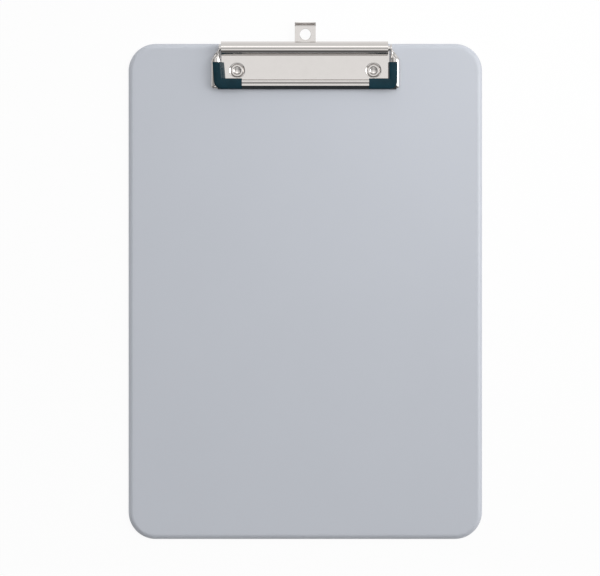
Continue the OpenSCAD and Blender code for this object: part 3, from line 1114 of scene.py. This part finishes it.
@dataclass
class JawStrip:
    """The rubber edging along the bar's outer side, which has slid a little to the right."""

    shape: BailShape
    wall: float = 0.4
    lap: float = 1.6
    fit: float = 0.05
    jaw_gap: float = 0.1
    tongue_h: float = 0.7
    skin_drop: float = 0.5
    seat_drop: float = 0.2
    inner_bevel: float = 0.3
    outer_bevel: float = 0.25
    edge_break: float = 0.12
    slide: float = 1.1
    steps: int = 40

    def section(self) -> Array:
        """Gives the strip's closed outline as distance across and height.

        It runs from the foot up the outer side, over the crown to the lap's edge, back along
        the crown, down the flank, under it and up the tongue inside the channel.

        Returns:
            Array of shape (points, 2).
        """
        s = self.shape
        skin = np.linspace(-self.wall, self.lap, num=15)
        over = s.crown_height(np.clip(skin, 0.0, None), s.on_bar, self.wall)
        over[0] -= self.skin_drop
        under = np.linspace(self.lap, -self.fit, num=12)
        seat_z = s.crown_height(np.clip(under, 0.0, None), s.on_bar, self.fit)
        seat_z[-1] -= self.seat_drop
        heel, tongue = s.low - self.fit, s.low + self.tongue_h
        inside, gap = s.sheet + self.fit, self.jaw_gap
        foot = [[-self.fit, heel], [inside, heel], [inside, tongue], [self.lap, tongue],
                [self.lap, gap + self.inner_bevel], [self.lap - self.inner_bevel, gap],
                [self.outer_bevel - self.wall, gap], [-self.wall, gap + self.outer_bevel]]
        return np.vstack([np.column_stack([skin, over]), np.column_stack([under, seat_z]), foot])

    def build(self) -> None:
        """Carries the outline along X and closes its ends."""
        xs = np.linspace(*cad_box("jaw_strip")[:, 0], self.steps + 1) + self.slide
        shell = Shell(self.shape.datum.on_face)
        shell.rod(extrude(xs, self.section() + [self.shape.bar_outer, 0.0]))
        piece = shell.build("jaw_edging")
        break_edges(piece, self.edge_break, segments=2)
        seat(piece, Body.CLAMP, JAW_RUBBER, "jaw_strip")


# ---- pin and springs ----


@dataclass
class HingePin:
    """The pin through the barrel, with slightly domed, staked ends."""

    datum: Datum
    radius: float = 1.5
    stake_r: float = 1.85
    stake_h: float = 0.35

    def build(self) -> None:
        """Turns the pin's outline round X: a shaft that flares into a dome past each ear.

        The dome is (r, x) = (R sin a, half + h cos a).
        """
        half = cad_box("hinge_pin")[1, 0]
        dome = unit(np.linspace(0, np.pi / 2, num=8))[:, ::-1] * [self.stake_r, self.stake_h]
        right = np.vstack([dome + [0.0, half], [[self.radius, half]]])
        left = right[::-1] * [1, -1]
        shell = Shell(self.datum.on_axis)
        shell.grid(onto_x(revolve(np.vstack([right, left]), steps=48)), closed_v=True)
        seat(shell.build("hinge_pin_staked"), Body.CLAMP, NICKEL_PLATE, "hinge_pin")


@dataclass
class TorsionSpring:
    """One torsion spring on the pin inside the barrel, wound from a single wire."""

    datum: Datum
    side: Side
    wire_d: float = 1.0
    coil_r: float = 2.25
    turns: int = 8
    pitch: float = 1.5
    leg_len: float = 1.83
    turn_steps: int = 28
    sides: int = 10
    bend_r: float = 0.6

    def build(self) -> None:
        """Carries the wire along a straight leg, the coil's helix and a tang that turns inwards.

        The helix is (x, y, z) = (start - pitch * n, -R sin 2 pi n, R cos 2 pi n) after n turns.
        """
        node = f"torsion_spring_{self.side.label}"
        outer = np.abs(cad_box(node)[:, 0]).max() - self.wire_d / 2
        n = np.linspace(0, self.turns, self.turns * self.turn_steps + 1)
        angle = 2 * np.pi * n
        coil = np.stack([outer - self.pitch * n, -self.coil_r * np.sin(angle),
                         self.coil_r * np.cos(angle)], axis=-1)
        leg = np.linspace([outer, self.leg_len, self.coil_r], coil[0], num=5)[:-1]
        turn = np.linspace(0, np.pi / 2, num=7)[1:]
        bend = coil[-1] - self.bend_r * np.stack([0 * turn, np.sin(turn), 1 - np.cos(turn)], axis=-1)
        tang = np.linspace(bend[-1], bend[-1] * [1, 1, 0], num=5)[1:]
        path = np.vstack([leg, coil, bend, tang]) * [self.side.value, 1, 1]
        shell = Shell(self.datum.on_axis)
        shell.rod(tube(path, self.wire_d / 2, self.sides, across=np.array([1.0, 0.0, 0.0])))
        seat(shell.build(f"{node}_wire"), Body.BASE, SPRING_WIRE, node)


# ---- hanging eye ----


@dataclass
class HangingEye:
    """The flat steel eye with its hole, its finger lip and the foot that keeps it in."""

    datum: Datum
    half: float = 6.75
    sheet: float = 1.0
    edge_break: float = 0.08
    lip_r: float = 1.3
    lip_edge_r: float = 0.9
    hole_r: float = 3.5
    hole_rim: float = 0.5
    hole_setback: float = 7.5
    window: float = 5.0
    window_steps: int = 12
    foot_len: float = 3.0
    tolerance: float = 0.01

    def __post_init__(self) -> None:
        """Reads the eye's ends, foot and heights from the frame."""
        low, high = cad_box("hanging_eye") - self.datum.on_face
        self.tail = low[1]
        self.foot_half, self.tip, self.lip_top = high
        self.mid_z = low[2] + self.sheet / 2

    def sheet_metal(self) -> Object:
        """Makes the sheet's middle surface: foot, tongue with a round hole, bend and lip.

        Returns:
            The surface, without its wall.
        """
        shell = Shell(self.datum.on_face)
        bend_r = self.lip_r + self.sheet / 2
        bend_y = self.tip - self.sheet / 2 - bend_r
        hole_y = self.tip - self.hole_setback
        foot_end = self.tail + self.foot_len
        near, far = hole_y - self.window, hole_y + self.window
        lines = np.linspace(-self.window, self.window, self.window_steps + 1)
        xs = np.concatenate([[-self.half], lines, [self.half]])
        foot = np.array([self.tail, foot_end])
        wing = np.array([self.half, self.foot_half])
        for x_lines, y_lines in (
                (xs, foot), (xs, np.linspace(foot_end, near, num=5)), (xs, np.array([far, bend_y])),
                (xs[:2], hole_y + lines), (xs[-2:], hole_y + lines), (-wing[::-1], foot), (wing, foot)):
            shell.grid(plane_grid(x_lines, y_lines, self.mid_z))
        rings = np.array([[self.hole_r, 0.0], [self.hole_r + self.hole_rim, 0.0]])
        centre = np.array([0.0, hole_y, self.mid_z])
        shell.grid(round_window(centre, self.window, self.window_steps, rings), closed_v=True)
        bend = arc((bend_y, self.mid_z + bend_r), bend_r, -90, 0, steps=10)
        lip = np.linspace(bend[-1], [bend[-1, 0], self.lip_top], num=4)[1:]
        shell.grid(extrude(xs, np.vstack([bend, lip])))
        return shell.build("hanging_eye_tab", closed=False)

    def round_lip(self, piece: Object) -> None:
        """Rounds the lip's upper inner edge, chosen by its place, wider than the other edges.

        Args:
            piece: The eye with its wall.
        """
        mesh = piece.data
        places = np.empty(len(mesh.vertices) * 3)
        mesh.vertices.foreach_get("co", places)
        places = places.reshape(-1, 3) / MM - self.datum.on_face
        on_edge = (np.abs(places[:, 1:] - [self.tip - self.sheet, self.lip_top]) < self.tolerance).all(axis=1)
        pairs = np.empty(len(mesh.edges) * 2, dtype=np.int32)
        mesh.edges.foreach_get("vertices", pairs)
        chosen = on_edge[pairs.reshape(-1, 2)].all(axis=1)
        weight = mesh.attributes.new("bevel_weight_edge", "FLOAT", "EDGE")
        weight.data.foreach_set("value", chosen.astype(np.float32))
        modify(piece, "BEVEL", width=self.lip_edge_r * MM, segments=8, limit_method="WEIGHT")

    def build(self) -> None:
        """Gives the sheet its wall, rounds its edges and dresses it."""
        piece = self.sheet_metal()
        thicken(piece, self.sheet)
        self.round_lip(piece)
        break_edges(piece, self.edge_break)
        seat(piece, Body.EYE, NICKEL_PLATE, "hanging_eye")


# ---- studio ----


@dataclass(frozen=True)
class Lamp:
    """A square area lamp. Lengths are in metres and the energy in watts.

    shadow says whether it casts shadows, and gloss whether shiny pieces mirror it.
    """

    name: str
    way: tuple[float, float, float]
    distance: float
    size: float
    energy: float
    shadow: bool = False
    gloss: bool = False

    def hang(self) -> None:
        """Hangs the lamp, hidden from the camera and turned to the middle of the board.

        Its -Z axis is tilted about X by the angle from straight down, then turned about Z.
        """
        light = bpy.data.lights.new(self.name, "AREA")
        light.shape = "SQUARE"
        light.size = self.size
        light.energy = self.energy
        light.use_shadow = self.shadow
        x, y, z = np.array(self.way) / np.linalg.norm(self.way) * self.distance
        holder = add_object(self.name, light)
        holder.location = (x, y, z)
        holder.rotation_euler = (np.arctan2(np.hypot(x, y), z), 0.0, np.arctan2(x, -y))
        holder.visible_camera = False
        holder.visible_glossy = self.gloss


# The softbox at the right gives the broad shadow left of the clip and its gleams. The wash
# brightens the upper right of the board, and the rim lamp its upper and left edges.
LAMPS = (
    Lamp("key_softbox", (0.75, 0.12, 0.6), distance=3.0, size=1.5, energy=25.4, shadow=True, gloss=True),
    Lamp("corner_wash", (0.36, 0.52, 0.77), distance=0.4, size=0.2, energy=0.32),
    Lamp("edge_rim", (-0.6, 0.8, 0.2), distance=3.0, size=1.0, energy=18.0))


@dataclass
class Studio:
    """Floor, light and camera. Lengths are in metres, as they aren't part of the object.

    along_y and across_x are the room's brightness over two components of a direction, in pairs
    of component and brightness, from -1 to 1. peak is more than any of them.
    """

    datum: Datum
    camera_x: float = -0.0034
    camera_y: float = 0.0022
    camera_height: float = 1.603
    focal_length: float = 150.0
    floor_size: float = 6.0
    floor_drop: float = 0.00005
    floor_white: float = 0.86
    floor_glow: float = 1.06
    peak: float = 2.0
    along_y: Stops = (
        (-1.0, 0.10), (-0.88, 0.12), (-0.67, 0.36), (-0.60, 1.0), (-0.38, 1.05), (-0.31, 0.42),
        (-0.13, 0.38), (-0.06, 1.0), (0.14, 1.03), (0.17, 0.45), (0.23, 0.45), (0.27, 1.7),
        (0.47, 1.7), (0.55, 0.82), (1.0, 0.86))
    across_x: Stops = (
        (-1.0, 1.0), (-0.94, 0.9), (-0.87, 0.2), (-0.70, 0.2), (-0.60, 0.5), (-0.25, 0.6),
        (-0.12, 1.0), (0.12, 1.0), (0.25, 0.68), (0.68, 0.68), (0.8, 1.3), (1.0, 1.4))

    def floor(self) -> None:
        """Lays a plain pale floor that shows white and keeps a faint shadow of the object."""
        shell = Shell()
        shell.cap(lift(square_ring(np.full(2, self.floor_size / 2), 1), -self.floor_drop) / MM)
        floor = shell.build("floor", closed=False)
        paper = bpy.data.materials.new("white_paper_sweep")
        paper.use_nodes = True
        tree = paper.node_tree
        rays = add_node(tree, "ShaderNodeLightPath")
        seen = rays.outputs["Is Camera Ray"]
        for ray, operation in ((rays.outputs["Is Glossy Ray"], "MAXIMUM"),
                               (rays.outputs["Is Transmission Ray"], "MAXIMUM"),
                               (self.floor_white, "MULTIPLY")):
            seen = add_node(tree, "ShaderNodeMath", {0: seen, 1: ray}, operation=operation).outputs[0]
        body = tree.nodes["Principled BSDF"]
        body.inputs["Base Color"].default_value = linear("#C4C4C4")
        body.inputs["Roughness"].default_value = 0.9
        white = add_node(tree, "ShaderNodeEmission", {
            "Color": linear("#FFFFFF"), "Strength": self.floor_glow})
        mixed = add_node(tree, "ShaderNodeMixShader", {
            0: seen, 1: body.outputs["BSDF"], 2: white.outputs["Emission"]})
        tree.links.new(mixed.outputs["Shader"], tree.nodes["Material Output"].inputs["Surface"])
        floor.data.materials.append(paper)

    def ramp(self, tree: NodeTree, value: NodeSocket, stops: Stops) -> NodeSocket:
        """Adds a brightness ramp over one component of a direction.

        Args:
            tree: The world's node tree.
            value: The component, from -1 to 1.
            stops: Pairs of component and brightness, in order; the first at -1, the last at 1.

        Returns:
            The ramp's colour output, which is the brightness over the peak.
        """
        share = add_node(tree, "ShaderNodeMapRange", {"Value": value, "From Min": -1.0, "From Max": 1.0})
        node = add_node(tree, "ShaderNodeValToRGB", {"Fac": share.outputs["Result"]})
        elements = node.color_ramp.elements
        inner = [elements.new((place + 1) / 2) for place, _ in stops[1:-1]]
        for stop, (_, bright) in zip([elements[0], *inner, elements[len(stops) - 1]], stops):
            stop.color = (*[bright / self.peak] * 3, 1.0)
        return node.outputs["Color"]

    def walls(self) -> None:
        """Lights the room as the nickel mirrors it in the photograph.

        Over Y there are a dark side, a pale wall, a dark strip overhead, pale ceiling, a bright
        strip light and a pale wall. Over X the left is darker than the right. The two are
        multiplied. Only the camera sees plain white.
        """
        world = bpy.data.worlds.new("studio_room")
        bpy.context.scene.world = world
        world.use_nodes = True
        tree = world.node_tree
        tree.nodes.clear()
        way = add_node(tree, "ShaderNodeTexCoord").outputs["Generated"]
        split = add_node(tree, "ShaderNodeSeparateXYZ", {"Vector": way})
        both = add_node(tree, "ShaderNodeVectorMath", {
            0: self.ramp(tree, split.outputs["Y"], self.along_y),
            1: self.ramp(tree, split.outputs["X"], self.across_x)}, operation="MULTIPLY")
        room = add_node(tree, "ShaderNodeBackground", {
            "Color": both.outputs[0], "Strength": self.peak ** 2})
        rays = add_node(tree, "ShaderNodeLightPath")
        white = add_node(tree, "ShaderNodeBackground", {"Color": linear("#FFFFFF"), "Strength": 1.0})
        mixed = add_node(tree, "ShaderNodeMixShader", {
            0: rays.outputs["Is Camera Ray"], 1: room.outputs[0], 2: white.outputs[0]})
        out = add_node(tree, "ShaderNodeOutputWorld")
        tree.links.new(mixed.outputs["Shader"], out.inputs["Surface"])

    def camera(self) -> None:
        """Sets the camera straight above the board, as the photograph was taken."""
        lens = bpy.data.cameras.new("camera")
        lens.lens = self.focal_length
        lens.sensor_width = 36.0
        lens.clip_end = 20.0
        holder = add_object("camera", lens)
        holder.location = (self.camera_x, self.camera_y, self.datum.face_z * MM + self.camera_height)
        bpy.context.scene.camera = holder

    def build(self) -> None:
        """Sets up the whole studio."""
        self.floor()
        self.walls()
        for lamp in LAMPS:
            lamp.hang()
        self.camera()
        bpy.context.scene.view_settings.view_transform = "Standard"


def main() -> None:
    """Builds every sub-assembly in order."""
    logging.basicConfig(level=logging.INFO, format="%(message)s")
    datum = Datum.from_frame()
    plate = ClipPlate(datum)
    Board(datum).build(plate)
    plate.build()
    Rivets(datum).build()
    shape = BailShape(datum)
    Bail(shape).build()
    CornerGrip(shape, Side.LEFT, shift=0.55, lean=5.0, flare=2.1).build()
    CornerGrip(shape, Side.RIGHT, shift=0.15, lean=0.0, flare=0.6).build()
    JawStrip(shape).build()
    HingePin(datum).build()
    for side in Side:
        TorsionSpring(datum, side).build()
    HangingEye(datum).build()
    Studio(datum).build()


if __name__ == "__main__":
    main()
